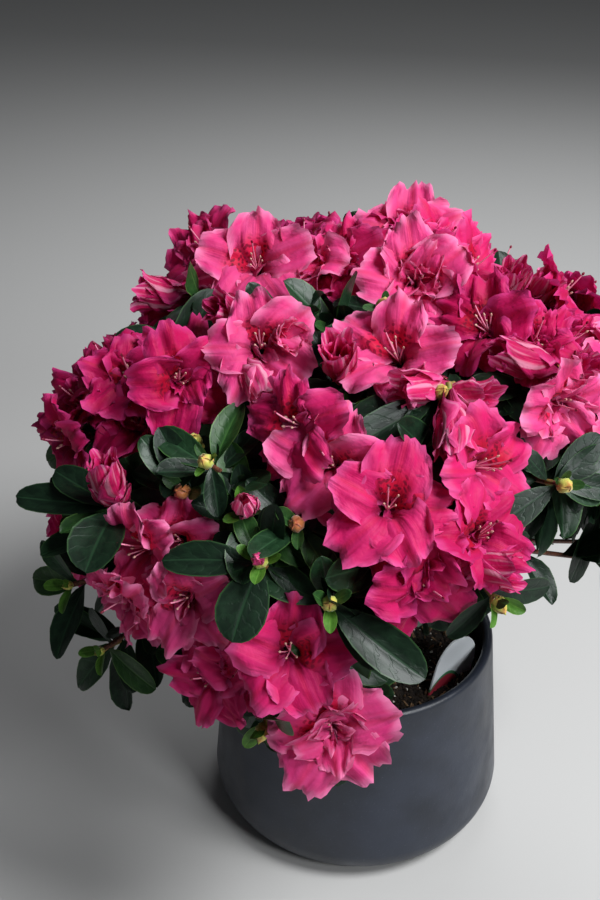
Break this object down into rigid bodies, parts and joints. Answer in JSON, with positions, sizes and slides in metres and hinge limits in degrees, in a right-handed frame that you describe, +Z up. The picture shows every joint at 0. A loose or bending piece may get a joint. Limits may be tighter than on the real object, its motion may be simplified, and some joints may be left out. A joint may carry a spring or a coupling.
{
  "type": "potted azalea shrub",
  "caption": "Domed flowering azalea shrub with a short stem, spreading boughs and leafy masses of semi-double blooms, in a plain dark ceramic pot.",
  "frame": {"origin": "centre of the pot's flat underside, on the surface the pot stands on", "axes": "+Z up along the pot's axis, -Y out of the crown's front, +X to the right of someone who faces that front"},
  "size_m": [0.3811, 0.3803, 0.4175],
  "materials": {
    "ceramic": "matte charcoal glaze",
    "compost": "crumbly",
    "card": "satin",
    "bark": "rough bark",
    "foliage": "soft petals and leaves"
  },
  "bodies": {
    "root": {"pot": "ceramic", "compost": "compost", "plant_label": "card", "stem": "bark", "bough_top": "bark", "bough_upper_left": "bark", "bough_centre": "bark", "bough_upper_right": "bark", "bough_right": "bark", "bough_front": "bark", "bough_front_right": "bark", "bough_front_left": "bark", "bough_left": "bark", "bough_lower_left": "bark", "bough_lower_front": "bark", "bough_far_right": "bark", "bough_back_right": "bark", "bough_back": "bark", "bough_back_left": "bark", "bough_far_left": "bark", "bough_crest": "bark", "mass_top": "foliage", "mass_upper_left": "foliage", "mass_centre": "foliage", "mass_upper_right": "foliage", "mass_right": "foliage", "mass_front": "foliage", "mass_front_right": "foliage", "mass_front_left": "foliage", "mass_left": "foliage", "mass_lower_left": "foliage", "mass_lower_front": "foliage", "mass_far_right": "foliage", "mass_back_right": "foliage", "mass_back": "foliage", "mass_back_left": "foliage", "mass_far_left": "foliage", "mass_crest": "foliage"}
  },
  "joints": []
}
